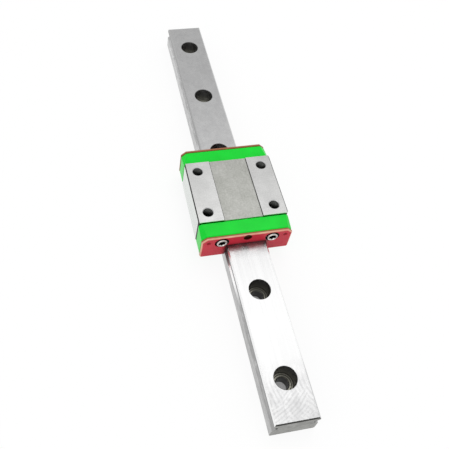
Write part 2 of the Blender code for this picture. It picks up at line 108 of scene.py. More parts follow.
TAPPED_CHAMFER = 0.00022
TAPPED_DEPTH = THREAD_PITCH * (THREAD_TURNS + 1)
DRILL_POINT = 0.0007

# End caps
SEAM = 0.0001
CAP_LOW, CAP_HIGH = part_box("rear_end_cap")
SEAL_LOW, SEAL_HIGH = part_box("rear_end_seal")
CAP_WIDTH = CAP_HIGH.x - CAP_LOW.x
CAP_TOP = CAP_HIGH.z
CAP_FOOT = CAP_LOW.z
CAP_INNER_Y = BLOCK_LENGTH / 2 + SEAM
CAP_OUTER_Y = SEAL_LOW.y - CARRIAGE_Y - SEAM / 2
CAP_THICKNESS = CAP_OUTER_Y - CAP_INNER_Y
CAP_INNER_CORNER = 0.0007
CAP_OUTER_CORNER = 0.0015
CAP_FOOT_CHAMFER = 0.0006
CAP_ROUNDING = 0.0005
CAP_EDGE = 0.00015
CAP_SHARP_ANGLE = math.radians(40)
TURN_SETBACK = 0.00002
PORT_HEIGHT = CARRIAGE_TOP - 0.002
PORT_RADIUS = 0.0009
PORT_MOUTH = 0.00025

# End seals
SEAL_WIDTH = SEAL_HIGH.x - SEAL_LOW.x
SEAL_TOP = SEAL_HIGH.z
SEAL_FOOT = SEAL_LOW.z
SEAL_INNER_Y = SEAL_LOW.y - CARRIAGE_Y
SEAL_OUTER_Y = SEAL_HIGH.y - CARRIAGE_Y
SEAL_THICKNESS = SEAL_OUTER_Y - SEAL_INNER_Y
SEAL_CORNER = 0.0015
SEAL_FOOT_CORNER = 0.0004
SEAL_RIM = 0.00035
SEAL_LIP_GAP = 0.0001
SEAL_LIP_SHADE = 0.0017
SEAL_PORT_RADIUS = 0.00115
SEAL_MOUTH = 0.00012
DIMPLE_X = CAP_WIDTH / 2 - 0.0021
DIMPLE_HEIGHT = CARRIAGE_TOP - 0.0028
DIMPLE_RADIUS = 0.0007
DIMPLE_DEPTH = 0.0003
DIMPLE_STEPS = 7
DIMPLE_REACH = 1.3
LIP_Y = CARRIAGE_Y - SEAL_OUTER_Y

# End screws
SCREW = middle("end_screw_rear_right")
SCREW_TOP_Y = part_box("end_screw_rear_right")[1].y - CARRIAGE_Y
SCREW_LENGTH = 0.008
SCREW_SHANK_RADIUS = 0.00075
SCREW_HOLE_RADIUS = SCREW_SHANK_RADIUS + 0.00005
SCREW_HEAD_RADIUS = 0.0016
SCREW_HEAD_HEIGHT = 0.0016
SCREW_HEAD_ROUNDING = 0.0003
SCREW_SEAT_Y = SCREW_TOP_Y - SCREW_HEAD_HEIGHT
SCREW_HOLE_END_Y = SCREW_SEAT_Y - SCREW_LENGTH - 0.0003
SCREW_RECESS_RADIUS = 0.002
SOCKET_WIDTH = 0.0019
SOCKET_CORNER = SOCKET_WIDTH / math.sqrt(3)
SOCKET_DEPTH = 0.0009
SOCKET_CHAMFER = 0.0001

# Marks, painted highlights and painted shade along the rail, as places on Y where each
# starts and where it is full
FRONT_END_MARKS = (-0.0575, -0.0650)
REARWARD_MARKS = (-0.0275, -0.0250)
SEAL_SPECKS = (0.0, -0.0100)
REAR_HALF = (-0.0100, 0.0)
# Painted reflection: the rear of the rail is lighter towards the carriage
REAR_PAINTED_REFLECTION = (0.0600, 0.0180)
# Painted highlights and painted shade on the rail's top chamfers
BRIGHT_EDGES = (0.0, -0.0200)
BRIGHT_RIGHT_EDGE = (-0.0620, -0.0560)
DULL_LEFT_EDGE = (-0.0020, 0.0020)
DULL_FLANKS = (-0.0200, -0.0450)
# A painted highlight along the ball groove in front of the carriage
GROOVE_HIGHLIGHT_START = (LIP_Y - 0.0040, LIP_Y - 0.0050)
GROOVE_HIGHLIGHT_FADE = (-0.0410, -0.0330)
# Rear holes, with less painted shade in their walls
LIGHTER_HOLES = (0.0, 0.0200)

# Wheel and cutter marks: the centre and the pitch of each set of arcs, and the pitches of
# the rings. Then how ragged the outline of the oil and its painted shade is, and how high
# the reliefs stand
LEFT_ARCS = ((-0.013, -0.050, 0), 0.0008)
RIGHT_ARCS = ((0.016, -0.062, 0), 0.0011)
WALL_RING_PITCH = 0.0005
SEAT_RING_PITCH = 0.00052
PATCH_RAGGEDNESS = 0.0014
FINE_RELIEF = 0.00001
ROUGH_RELIEF = 0.00002
RING_RELIEF = 0.00003

# Facets, how far a cutter reaches past a surface, and how near two points count as one
FINE_SIDES = 96
SMALL_SIDES = 48
ROUNDING_STEPS = 4
EDGE_STEPS = 3
PAST = 0.0005
WELD = 0.000001
SMOOTH_ANGLE = math.radians(32)
LAID_ALONG_Y = Matrix.Rotation(math.pi / 2, 4, "X")

# How much of its normal a face has along an axis: over FACING where it looks that way, and
# from TILTED to SLANTED on a chamfer. An edge along an axis has over PARALLEL of its length
FACING = 0.99
SLANTED = 0.9
TILTED = 0.5
PARALLEL = 0.999

# Blender's own numbers: the Wave texture's pitch at scale 1, and the Mix node's sockets
# for two colours and their mix
WAVE_PITCH = math.tau / 20
COLOR_A, COLOR_B, COLOR_MIX = 6, 7, 2

# Studio: each softbox has its spot, its aim, its width and height, and its radiance
AMBIENT = 0.74
SOFTBOXES = {
    "overhead_softbox": ((0.115, 0.116, 0.451), (0, -0.055, 0), 0.2, 0.235, 1.58),
    "left_softbox": ((-0.5, -0.25, 0.5), (0, 0, 0), 0.35, 0.35, 0.6),
    "front_softbox": ((-0.1, -0.55, 0.16), (0, -0.02, 0.01), 0.3, 0.2, 1.4),
}
FLOOR_SIZE = 3.0
FLOOR_CELLS = 8
FLOOR_COLOR = (0.9, 0.9, 0.9, 1)
FLOOR_GLOW = 0.85
FLOOR_GLOW_UNDER_RAIL = 0.18
FLOOR_GLOW_STRENGTH = 1.04
WHITE = (1, 1, 1, 1)
CAMERA_SPOT = (-0.046983, -0.110176, 0.161742)
CAMERA_TURN = math.radians(16.542)
CAMERA_TILT = math.radians(52.177)
CAMERA_ROLL = math.radians(7.073)
CAMERA_LENS = 50.12
CAMERA_SHIFT = (0.088, -0.110)
SENSOR_WIDTH = 36.0

SIDES = {"left": -1, "right": 1}
ENDS = {"front": -1, "rear": 1}
PLACES = {"rail": 0.0, "carriage": CARRIAGE_Y}


class Value:
    """The output of a shader node. Arithmetic on it adds Math nodes."""

    def __init__(self, recipe, socket):
        self.recipe = recipe
        self.socket = socket

    def __add__(self, other):
        return self.recipe.math("ADD", self, other)

    def __sub__(self, other):
        return self.recipe.math("SUBTRACT", self, other)

    def __rsub__(self, other):
        return self.recipe.math("SUBTRACT", other, self)

    def __mul__(self, other):
        return self.recipe.math("MULTIPLY", self, other)

    def __pow__(self, other):
        return self.recipe.math("POWER", self, other)

    def __rpow__(self, other):
        return self.recipe.math("POWER", other, self)

    def __abs__(self):
        return self.recipe.math("ABSOLUTE", self)

    __radd__ = __add__
    __rmul__ = __mul__


class Recipe:
    """The node tree of one finish or of the world, under construction."""

    def __init__(self, owner):
        owner.use_nodes = True
        self.owner = owner
        self.tree = owner.node_tree
        self.tree.nodes.clear()

    def node(self, kind, settings=None, inputs=None, output=0):
        """Add one node: its settings first, then the value or the link of each socket."""
        node = self.tree.nodes.new(kind)
        for name, value in (settings or {}).items():
            setattr(node, name, value)
        for key, value in (inputs or {}).items():
            if isinstance(value, Value):
                self.tree.links.new(value.socket, node.inputs[key])
            else:
                node.inputs[key].default_value = value
        return Value(self, node.outputs[output])

    def math(self, operation, *values):
        return self.node("ShaderNodeMath", {"operation": operation}, dict(enumerate(values)))

    def coordinates(self, scale=(1, 1, 1), centre=(0, 0, 0)):
        """Object coordinates about a centre, scaled."""
        spot = self.node("ShaderNodeTexCoord", output="Object")
        moved = self.node("ShaderNodeVectorMath", {"operation": "SUBTRACT"}, {0: spot, 1: centre})
        return self.node("ShaderNodeMapping", None, {"Vector": moved, "Scale": scale})

    def axis(self, name):
        """The Object coordinate along X, Y or Z as a number."""
        return self.node("ShaderNodeSeparateXYZ", None, {0: self.coordinates()}, name)

    def noise(self, scale, detail=3.0, roughness=0.5, distortion=0.0):
        """Noise with its own number of features per metre along X, Y and Z."""
        inputs = {
            "Vector": self.coordinates(scale),
            "Scale": 1.0,
            "Detail": detail,
            "Roughness": roughness,
            "Distortion": distortion,
        }
        return self.node("ShaderNodeTexNoise", None, inputs)

    def arcs(self, centre, pitch):
        """Rings about a centre, a pitch apart, that wander off their circles."""
        inputs = {
            "Vector": self.coordinates((1, 1, 0), centre),
            "Scale": WAVE_PITCH / pitch,
            "Distortion": 6.0,
            "Detail": 1.0,
            "Detail Scale": 0.4,
        }
        settings = {"wave_type": "RINGS", "rings_direction": "Z"}
        return self.node("ShaderNodeTexWave", settings, inputs, "Fac")

    def between(self, value, low, high, start=0.0, end=1.0):
        """Carry a value from low..high to start..end, and stop it there."""
        inputs = {"Value": value, "From Min": low, "From Max": high, "To Min": start, "To Max": end}
        return self.node("ShaderNodeMapRange", {"clamp": True}, inputs)

    def blend(self, factor, first, second):
        """Mix two colours."""
        inputs = {"Factor": factor, COLOR_A: first, COLOR_B: second}
        return self.node("ShaderNodeMix", {"data_type": "RGBA"}, inputs, COLOR_MIX)

    def bump(self, height, strength, distance):
        inputs = {"Height": height, "Strength": strength, "Distance": distance}
        return self.node("ShaderNodeBump", None, inputs)

    def output(self, kind, socket, shader):
        self.tree.links.new(shader.socket, self.tree.nodes.new(kind).inputs[socket])
        return self.owner

    def surface(self, inputs):
        shader = self.node("ShaderNodeBsdfPrincipled", None, inputs)
        return self.output("ShaderNodeOutputMaterial", "Surface", shader)

    def metal(self, color, roughness, normal=None):
        """Finish the recipe as bare metal."""
        inputs = {"Base Color": color, "Metallic": 1.0, "Roughness": roughness}
        if normal:
            inputs["Normal"] = normal
        return self.surface(inputs)

    def plastic(self, color, roughness, normal, gloss):
        """Finish the recipe as plastic."""
        inputs = {"Base Color": color, "Roughness": roughness, "Normal": normal}
        inputs["Specular IOR Level"] = gloss
        return self.surface(inputs)


def linear(red, green, blue):
    """A screen colour from 0 to 255 as the light that it stands for."""
    def light(value):
        value /= 255
        return value / 12.92 if value <= 0.04045 else ((value + 0.055) / 1.055) ** 2.4

    return (light(red), light(green), light(blue), 1.0)


def grey(value):
    return linear(value, value, value)


# Oil darkened further by painted shade: the seal's shadow and dark reflection beside it
OIL_AND_SHADE_COLOR = linear(30, 24, 25)


def new_recipe(name):
    return Recipe(bpy.data.materials.new(name))


def from_hole_axis(r, x, y):
    """The distance from the axis of the nearest rail hole."""
    along = r.math("WRAP", y, HOLE_PITCH, 0.0) - HOLE_PITCH / 2
    return (x * x + along * along) ** 0.5


def cutter_rings(r, distance, pitch):
    """The rings that a cutter leaves, a pitch apart, as a number from 0 to 1."""
    return r.math("SINE", distance * (math.tau / pitch)) * 0.5 + 0.5


def oil_and_shade_patch(r, y, ahead, half):
    """A patch of oil and painted shade across the rail, with a ragged outline and its middle
    ahead of the front seal. The painted shade stands for the seal's shadow and dark
    reflection."""
    ragged = (r.noise((900, 500, 900), 3.0, 0.6) - 0.5) * PATCH_RAGGEDNESS
    return r.between(abs(y + ragged - (LIP_Y - ahead)), half, 0.4 * half)


def ground_rail_steel():
    """Ground along its length. The front end, and all from just ahead of the carriage
    rearwards, carry cloudy patches, specks and crossing arcs from the wheel. A painted
    highlight lightens the front end, and a painted reflection makes the rear part lighter
    towards the carriage."""
    r = new_recipe("ground_rail_steel")
    y = r.axis("Y")
    streaks = r.noise((1500, 22, 1500))
    fine = r.noise((7000, 300, 7000), 2.0)
    clouds = r.between(r.noise((330, 260, 330), 4.0, 0.6, 0.6), 0.38, 0.66)
    patches = r.between(r.noise((210, 170, 210), 2.0), 0.44, 0.56)
    front_end = r.between(y, *FRONT_END_MARKS)
    rearward = r.between(y, *REARWARD_MARKS)
    marked = front_end + rearward
    left_arcs = r.arcs(*LEFT_ARCS) * patches
    right_arcs = r.arcs(*RIGHT_ARCS) * (1.0 - patches)
    arcs = r.between(left_arcs + right_arcs, 0.3, 1.0) * marked
    mottle = r.between(r.noise((1100, 900, 1100), 4.0, 0.7, 0.5), 0.35, 0.65) * marked
    beside_seal = rearward * r.between(y, *SEAL_SPECKS)
    specks = mottle * (0.12 + 0.09 * front_end + 0.16 * beside_seal)
    # Wheel arcs, and a painted highlight that lightens the whole front end
    wheel_marks_and_front_highlight = arcs * (0.03 + 0.07 * front_end) - 0.08 * front_end
    shade = clouds * (0.02 + 0.12 * marked) + specks + wheel_marks_and_front_highlight + streaks * 0.08
    # Painted reflection: the rear part is lighter towards the carriage
    rear = r.blend(r.between(y, *REAR_PAINTED_REFLECTION), grey(177), grey(190))
    clean = r.blend(r.between(y, *REAR_HALF), grey(183), rear)
    steel = r.blend(shade, clean, linear(110, 110, 112))
    # Oil with painted shade ahead of the front seal: its shadow and dark reflection on the rail
    oil_and_painted_shade = oil_and_shade_patch(r, y, 0.0002, 0.0012) * (0.3 + 0.3 * patches)
    color = r.blend(oil_and_painted_shade, steel, linear(58, 44, 46))
    roughness = 0.23 + streaks * 0.07 + arcs * 0.03 + clouds * marked * 0.03
    relief = fine * 0.4 + streaks * 0.5 + arcs * 0.3
    return r.metal(color, roughness, r.bump(relief, 0.25, FINE_RELIEF))


def honed_edge_steel():
    """Chamfers along the rail: a painted highlight towards the front, painted shade on the
    rear left, and oil with painted shade beside the seal."""
    r = new_recipe("honed_edge_steel")
    x, y = r.axis("X"), r.axis("Y")
    streaks = r.noise((2400, 40, 2400))
    left = r.between(x, 0.001, -0.001)
    # Painted highlight on the chamfers towards the front, painted shade on the rear left
    bright_part = r.math("MAXIMUM", left, r.between(y, *BRIGHT_RIGHT_EDGE))
    at_front = bright_part * r.between(y, *BRIGHT_EDGES)
    at_rear_left = left * r.between(y, *DULL_LEFT_EDGE)
    plain = r.blend(streaks, grey(220), grey(190))
    dull = r.blend(streaks, grey(188), grey(160))
    bright = r.blend(streaks, grey(252), grey(232))
    steel = r.blend(at_front, r.blend(at_rear_left, plain, dull), bright)
    # Oil with painted shade on the chamfers beside the seal
    oil_and_painted_shade = oil_and_shade_patch(r, y, 0.0002, 0.0018) * (0.6 + 0.3 * streaks)
    color = r.blend(oil_and_painted_shade, steel, OIL_AND_SHADE_COLOR)
    return r.metal(color, 0.2 + streaks * 0.12, r.bump(streaks, 0.2, FINE_RELIEF))


def ground_flank_steel():
    """Rail flanks: painted shade makes them darker above the ball track than below it, with a
    painted shade line under the top edge and marks along the rail. They are darker towards
    the front, with a painted highlight in the groove in front of the carriage, painted shade
    under it, and oil with painted shade beside the seal."""
    r = new_recipe("ground_flank_steel")
    y, z = r.axis("Y"), r.axis("Z")
    streaks = r.noise((2600, 26, 2600))
    blotches = r.between(r.noise((600, 210, 600), 3.0, 0.6, 0.4), 0.4, 0.68)
    flecks = r.between(r.noise((1300, 360, 1300), 2.0), 0.58, 0.66)
    below_track = r.blend(blotches * 0.4 + streaks * 0.3 + flecks * 0.4, grey(158), grey(224))
    # Painted shade: the flank above the track is darker than below it
    above_track = r.blend(streaks * 0.5 + blotches * 0.5, grey(108), grey(176))
    steel = r.blend(r.between(z, TRACK.z + 0.0003, TRACK.z + 0.0014), below_track, above_track)
    # A painted shade line under the top edge
    under_edge = r.between(z, RAIL_HEIGHT - 0.0011, RAIL_HEIGHT - 0.0008) * (0.5 + 0.5 * streaks)
    # Darker towards the front
    darkened_front = r.blend(r.between(y, *DULL_FLANKS) * 0.3, steel, linear(120, 120, 118))
    edged = r.blend(under_edge, darkened_front, grey(40))
    # Painted highlight in the groove, with painted shade under it
    groove_highlight_stretch = r.between(y, *GROOVE_HIGHLIGHT_FADE) * r.between(y, *GROOVE_HIGHLIGHT_START)
    under_groove = r.between(z, GROOVE_LOW - 0.0010, GROOVE_LOW - 0.0002)
    above_lip = r.between(z, GROOVE_LOW, GROOVE_LOW + 0.00006)
    in_groove = above_lip * r.between(z, TRACK.z, TRACK.z - 0.0004)
    shaded = r.blend(under_groove * groove_highlight_stretch * 0.5, edged, grey(90))
    lit = r.blend(in_groove * groove_highlight_stretch, shaded, grey(255))
    # Oil with painted shade in the flank's track beside the seal
    oil_and_painted_shade = oil_and_shade_patch(r, y, 0.0014, 0.0032) * r.between(z, TRACK.z - 0.0022, TRACK.z - 0.0008)
    color = r.blend(oil_and_painted_shade * (0.6 + 0.3 * streaks), lit, OIL_AND_SHADE_COLOR)
    return r.metal(color, 0.2 + streaks * 0.16 + oil_and_painted_shade * 0.3, r.bump(streaks, 0.35, FINE_RELIEF))


def sawn_steel():
    """Cut and deburred rail ends, with a painted contact shadow along the foot."""
    r = new_recipe("sawn_steel")
    grain = r.noise((1100, 1100, 3400), 4.0)
    stains = r.between(r.noise((420, 420, 420), 3.0), 0.4, 0.65)
    # Painted contact shadow along the foot
    foot = r.between(r.axis("Z"), 0.0007, 0.0001)
    shade = stains * 0.4 + grain * 0.5 + foot * 0.5
    color = r.blend(shade, linear(154, 154, 150), linear(84, 85, 80))
    return r.metal(color, 0.3 + grain * 0.16, r.bump(grain, 0.4, ROUGH_RELIEF))


def block_end_steel():
    """The block's end faces: painted shade beside the caps, tinted green as a painted
    reflection of them, and a painted highlight in a band under the pads' edges and all the
    way down under the strip."""
    r = new_recipe("block_end_steel")
    grain = r.noise((1600, 700, 1600), 4.0)
    # Painted shade with a painted green reflection, and a painted highlight band
    dark = r.blend(grain, linear(12, 30, 16), linear(50, 60, 52))
    bright = r.blend(grain, grey(240), grey(200))
    beside_strip = r.between(abs(r.axis("X")), PAD_INNER_X - 0.0003, PAD_INNER_X)
    height = r.axis("Z") + beside_strip * 0.0001
    top_band = r.between(height, CARRIAGE_TOP - 0.0003, CARRIAGE_TOP - 0.0002)
    color = r.blend(r.math("MAXIMUM", top_band, 1.0 - beside_strip), dark, bright)
    return r.metal(color, 0.34 + grain * 0.14, r.bump(grain, 0.3, ROUGH_RELIEF))


def painted_shade_edge_steel():
    """Edges, slots and hollows painted dark: painted shade and dark reflection."""
    r = new_recipe("painted_shade_edge_steel")
    grain = r.noise((1600, 700, 1600), 4.0)
    color = r.blend(grain, grey(30), linear(82, 82, 80))
    return r.metal(color, 0.34 + grain * 0.14, r.bump(grain, 0.3, ROUGH_RELIEF))


def counterbored_steel():
    """The walls of the counterbores and bores: painted shade darkens them towards the front,
    and the rear counterbores are lighter."""
    r = new_recipe("counterbored_steel")
    x, y = r.axis("X"), r.axis("Y")
    rings = cutter_rings(r, r.axis("Z"), WALL_RING_PITCH)
    grain = r.noise((900, 900, 900))
    # Painted shade in the bores, lighter in the rear counterbores
    painted_shade_walls = r.blend(rings * 0.6 + grain * 0.4, linear(40, 40, 42), linear(102, 102, 100))
    lighter_walls = r.blend(rings * 0.6 + grain * 0.4, linear(108, 108, 110), linear(168, 168, 167))
    out_of_bore = r.between(from_hole_axis(r, x, y), HOLE_RADIUS, HOLE_RADIUS + 0.0004, 0.25, 1.0)
    color = r.blend(r.between(y, *LIGHTER_HOLES) * out_of_bore, painted_shade_walls, lighter_walls)
    return r.metal(color, 0.3 + grain * 0.16, r.bump(rings, 0.3, ROUGH_RELIEF))


def faced_seat_steel():
    """The flat seats of the counterbores, with rings round each hole."""
    r = new_recipe("faced_seat_steel")
    rings = cutter_rings(r, from_hole_axis(r, r.axis("X"), r.axis("Y")), SEAT_RING_PITCH)
    grain = r.noise((1200, 1200, 1200))
    color = r.blend(rings * 0.85 + grain * 0.15, linear(40, 40, 38), linear(200, 198, 184))
    return r.metal(color, 0.26 + grain * 0.14, r.bump(rings, 0.5, RING_RELIEF))


def tapped_thread_steel():
    """Cut threads: painted highlights on the crests and painted shade in the grooves."""
    r = new_recipe("tapped_thread_steel")
    grain = r.noise((1500, 1500, 3000))
    turns = (r.axis("Z") - CARRIAGE_TOP) * (math.tau / THREAD_PITCH)
    # Painted highlight on each crest and painted shade between them
    crest = r.between(r.math("SINE", turns + math.pi / 2), 0.0, 0.9)
    color = r.blend(crest * 0.8 + grain * 0.2, grey(16), linear(104, 106, 103))
    return r.metal(color, 0.24 + grain * 0.14, r.bump(grain, 0.3, ROUGH_RELIEF))


def ground_pad_steel():
    """The ground mounting pads on top of the block: finely speckled, with cross marks. The
    right one is a little darker with painted shade."""
    r = new_recipe("ground_pad_steel")
    streaks = r.noise((300, 2800, 900))
    speckle = r.noise((3000, 3000, 3000), 3.0, 0.6)
    clouds = r.between(r.noise((170, 150, 170)), 0.34, 0.66)
    # Painted shade on the right pad
    right = r.between(r.axis("X"), -0.001, 0.001)
    shade = streaks * 0.16 + r.between(speckle, 0.3, 0.7) * 0.24 + clouds * 0.12 + right * 0.1
    color = r.blend(shade, linear(203, 203, 202), linear(118, 118, 117))
    relief = streaks * 0.5 + speckle * 0.5
    return r.metal(color, 0.28 + streaks * 0.08, r.bump(relief, 0.22, FINE_RELIEF))


def drawn_strip_steel():
    """The recessed strip between the pads: as drawn, warmer and duller."""
    r = new_recipe("drawn_strip_steel")
    clouds = r.between(r.noise((230, 140, 230), 5.0, 0.6, 0.5), 0.3, 0.72)
    speckle = r.noise((2100, 2100, 2100), 3.0, 0.6)
    shade = clouds * 0.5 + r.between(speckle, 0.3, 0.7) * 0.5
    color = r.blend(shade, linear(178, 178, 174), linear(144, 145, 139))
    return r.metal(color, 0.38 + speckle * 0.12, r.bump(speckle, 0.3, ROUGH_RELIEF))


def polished_ball_steel():
    """The balls, too smooth for any relief."""
    r = new_recipe("polished_ball_steel")
    grain = r.noise((900, 900, 900))
    return r.metal(r.blend(grain, grey(226), grey(204)), 0.06 + grain * 0.05)


def grained_steel(name, scale, first, second, roughness, change, strength):
    """A steel whose colour, roughness and relief all follow one grain."""
    r = new_recipe(name)
    grain = r.noise(scale)
    color = r.blend(grain, first, second)
    return r.metal(color, roughness + grain * change, r.bump(grain, strength, FINE_RELIEF))


# Steels with one grain: its features per metre along X, Y and Z, the two colours, the
# least roughness and what the grain adds to it, and how far the grain stands out
GRAINED_STEELS = {
    "tapped_mouth_steel": ((1500, 1500, 1500), grey(206), grey(150), 0.26, 0.1, 0.3),
    "polished_flank_steel": (
        (1200, 34, 1500), linear(232, 235, 232), linear(200, 205, 201), 0.18, 0.12, 0.25
    ),
    "bright_screw_steel": (
        (2200, 2200, 2200), linear(226, 220, 216), linear(160, 154, 150), 0.14, 0.12, 0.2
    ),
    # The screws' sockets, painted dark as shade
    "painted_socket_shade_steel": (
        (1800, 1800, 1800), linear(18, 17, 17), linear(58, 56, 55), 0.3, 0.2, 0.3
    ),
    "spring_wire_steel": ((2400, 90, 2400), grey(190), grey(140), 0.2, 0.16, 0.2),
}


def moulded_surface(r):
    """A slow change of colour and a fine grain, as numbers."""
    cloud = r.between(r.noise((170, 170, 170), 4.0, 0.6), 0.32, 0.7)
    return cloud, r.noise((2600, 2600, 2600), 2.0)


def green_cap_plastic():
    """Bright moulded plastic, a little deeper in tone in slow patches."""
    r = new_recipe("green_cap_plastic")
    cloud, grain = moulded_surface(r)
    color = r.blend(cloud * 0.7 + grain * 0.3, linear(6, 236, 56), linear(4, 214, 50))
    return r.plastic(color, 0.26 + grain * 0.1, r.bump(grain, 0.18, ROUGH_RELIEF), 0.2)


def painted_recess_shade_plastic():
    """Recesses painted dark as shade: nearly black round the screws, deep red in the ports."""
    r = new_recipe("painted_recess_shade_plastic")
    grain = r.noise((1400, 1400, 1400))
    by_screw = r.between(abs(r.axis("X")), 0.002, 0.004)
    port = r.blend(grain, linear(92, 4, 8), linear(52, 4, 6))
    screw_well = r.blend(grain, linear(14, 8, 8), linear(34, 12, 14))
    color = r.blend(by_screw, port, screw_well)
    return r.plastic(color, 0.3 + grain * 0.2, r.bump(grain, 0.2, ROUGH_RELIEF), 0.2)


def red_seal_plastic():
    """Moulded red plate: painted shade in brown next to the cap, and a painted highlight on the
    rim that is palest on the front seal. Painted shade with oil darkens it at the lip that
    wipes the rail, and painted shade darkens the dimples."""
    r = new_recipe("red_seal_plastic")
    x, y, z = r.axis("X"), r.axis("Y"), r.axis("Z")
    from_middle = abs(x)
    behind_face = SEAL_OUTER_Y - abs(y - CARRIAGE_Y)
    cloud, grain = moulded_surface(r)
    plate = r.blend(cloud * 0.6 + grain * 0.4, linear(214, 40, 62), linear(188, 28, 50))
    out_of_side = from_middle - SEAL_WIDTH / 2
    out_of_top = z - SEAL_TOP
    out_of_corner = (out_of_side + out_of_top + SEAL_CORNER) * math.sqrt(0.5)
    out_of_edge = r.math("MAXIMUM", r.math("MAXIMUM", out_of_side, out_of_top), out_of_corner)
    at_edge = r.between(out_of_edge + grain * 0.0001, -SEAL_RIM, -0.4 * SEAL_RIM)
    # Painted shade in brown next to the cap
    at_cap = r.between(behind_face, SEAL_RIM, SEAL_RIM + 0.0001)
    # Painted highlight on the rim, weaker on the rear seal
    pale = r.blend(cloud, linear(240, 190, 160), linear(220, 130, 112))
    at_rear_seal = r.between(y, CARRIAGE_Y, CARRIAGE_Y + WELD)
    rim_highlight = r.blend(at_rear_seal, pale, linear(178, 118, 86))
    rim = r.blend(at_cap, rim_highlight, linear(156, 100, 64))
    rimmed = r.blend(at_edge, plate, rim)
    # Painted shade with oil, darkening the plate towards the lip
    from_lip = r.math("MAXIMUM", from_middle - RAIL_WIDTH / 2, z - RAIL_HEIGHT)
    oil_and_shade_at_lip = r.between(from_lip + cloud * 0.0004, SEAL_LIP_SHADE, SEAL_LIP_GAP) ** 2.0
    lipped = r.blend(oil_and_shade_at_lip * 0.95, rimmed, linear(46, 14, 14))
    # Painted shade in the dimples
    aside = from_middle - DIMPLE_X
    above = z - DIMPLE_HEIGHT
    from_dimple = (aside * aside + above * above) ** 0.5
    in_dimple = r.between(from_dimple, 1.2 * DIMPLE_RADIUS, 0.5 * DIMPLE_RADIUS)
    color = r.blend(in_dimple, lipped, linear(138, 12, 26))
    return r.plastic(color, 0.3 + grain * 0.12, r.bump(grain, 0.18, ROUGH_RELIEF), 0.22)


def white_guide_plastic():
    """The guides inside the caps."""
    r = new_recipe("white_guide_plastic")
    cloud, grain = moulded_surface(r)
    color = r.blend(cloud * 0.6 + grain * 0.4, linear(226, 226, 220), linear(206, 206, 198))
    return r.plastic(color, 0.4 + grain * 0.1, r.bump(grain, 0.18, ROUGH_RELIEF), 0.4)


def make_finishes():
    recipes = (
        ground_rail_steel, honed_edge_steel, ground_flank_steel, sawn_steel, block_end_steel,
        painted_shade_edge_steel, counterbored_steel, faced_seat_steel, tapped_thread_steel,
        ground_pad_steel, drawn_strip_steel, polished_ball_steel, green_cap_plastic,
        painted_recess_shade_plastic, red_seal_plastic, white_guide_plastic,
    )
    finishes = {recipe.__name__: recipe() for recipe in recipes}
    for name, values in GRAINED_STEELS.items():
        finishes[name] = grained_steel(name, *values)
    return finishes


def shift(mesh, x=0.0, y=0.0, z=0.0):
    bmesh.ops.translate(mesh, vec=(x, y, z), verts=mesh.verts)
    return mesh


def placed(mesh, matrix):
    bmesh.ops.transform(mesh, matrix=matrix, verts=mesh.verts)
    return mesh


def outward(end, x, y, z):
    """A frame on one end of the carriage, with its Z axis along the rail and out of that end."""
    return Matrix.Translation((x, end * y, z)) @ Matrix.Rotation(-end * math.pi / 2, 4, "X")


def brick(width, length, low, high):
    """A box about the Z axis, from low to high."""
    mesh = bmesh.new()
    bmesh.ops.create_cube(mesh, size=1)
    bmesh.ops.scale(mesh, vec=(width, length, high - low), verts=mesh.verts)
    return shift(mesh, z=(low + high) / 2)


def turned(profile, sides=SMALL_SIDES):
    """A closed body from (radius, height) points that start and end on the Z axis."""
    mesh = bmesh.new()
    verts = [mesh.verts.new((radius, 0, height)) for radius, height in profile]
    edges = [mesh.edges.new(pair) for pair in zip(verts, verts[1:])]
    bmesh.ops.spin(
        mesh, geom=verts + edges, cent=(0, 0, 0), axis=(0, 0, 1), angle=math.tau, steps=sides,
        use_merge=True
    )
    bmesh.ops.remove_doubles(mesh, verts=mesh.verts, dist=WELD)
    bmesh.ops.recalc_face_normals(mesh, faces=mesh.faces)
    return mesh


def hole(radius, depth, mouth=0.0):
    """A round cutter down from Z = 0, with a 45 degree mouth if it has one."""
    profile = [(0, -depth), (radius, -depth)]
    if mouth:
        profile += [(radius, -mouth), (radius + mouth + PAST, PAST)]
    else:
        profile.append((radius, PAST))
    return turned([*profile, (0, PAST)])


def rod(radius, length, x, z, sides=FINE_SIDES):
    """A round bar along Y."""
    mesh = bmesh.new()
    bmesh.ops.create_cone(
        mesh, cap_ends=True, segments=sides, radius1=radius, radius2=radius, depth=length
    )
    return placed(mesh, Matrix.Translation((x, 0, z)) @ LAID_ALONG_Y)


def bevel(mesh, edges, size, segments=1):
    bmesh.ops.bevel(
        mesh, geom=list(edges), offset=size, offset_type="OFFSET", segments=segments, profile=0.5,
        affect="EDGES", material=-1
    )


def edges_along(mesh, axis, test):
    """The edges that run along one axis and pass the test."""
    def runs(edge):
        way = edge.verts[1].co - edge.verts[0].co
        return abs(way[axis]) > PARALLEL * way.length

    return [edge for edge in mesh.edges if runs(edge) and test(edge.verts[0].co)]


def soften(mesh, size, least_angle):
    """Round every edge that is sharper than an angle."""
    sharp = [
        edge for edge in mesh.edges
        if edge.is_manifold and edge.calc_face_angle() > least_angle
    ]
    bevel(mesh, sharp, size, EDGE_STEPS)


def round_outer_face(mesh, y, size):
    """Round the outline of the flat face at Y = y."""
    outline = [
        edge for edge in mesh.edges if all(abs(vert.co.y - y) < WELD for vert in edge.verts)
    ]
    bevel(mesh, outline, size, ROUNDING_STEPS)


def finished(name, mesh):
    """The mesh as Blender's mesh data."""
    data = bpy.data.meshes.new(name)
    mesh.to_mesh(data)
    mesh.free()
    return data


def put_in_scene(name, data):
    item = bpy.data.objects.new(name, data)
    bpy.context.scene.collection.objects.link(item)
    return item


def scratch_object(mesh):
    """A working object for one Boolean step."""
    return put_in_scene("scratch", finished("scratch", mesh))


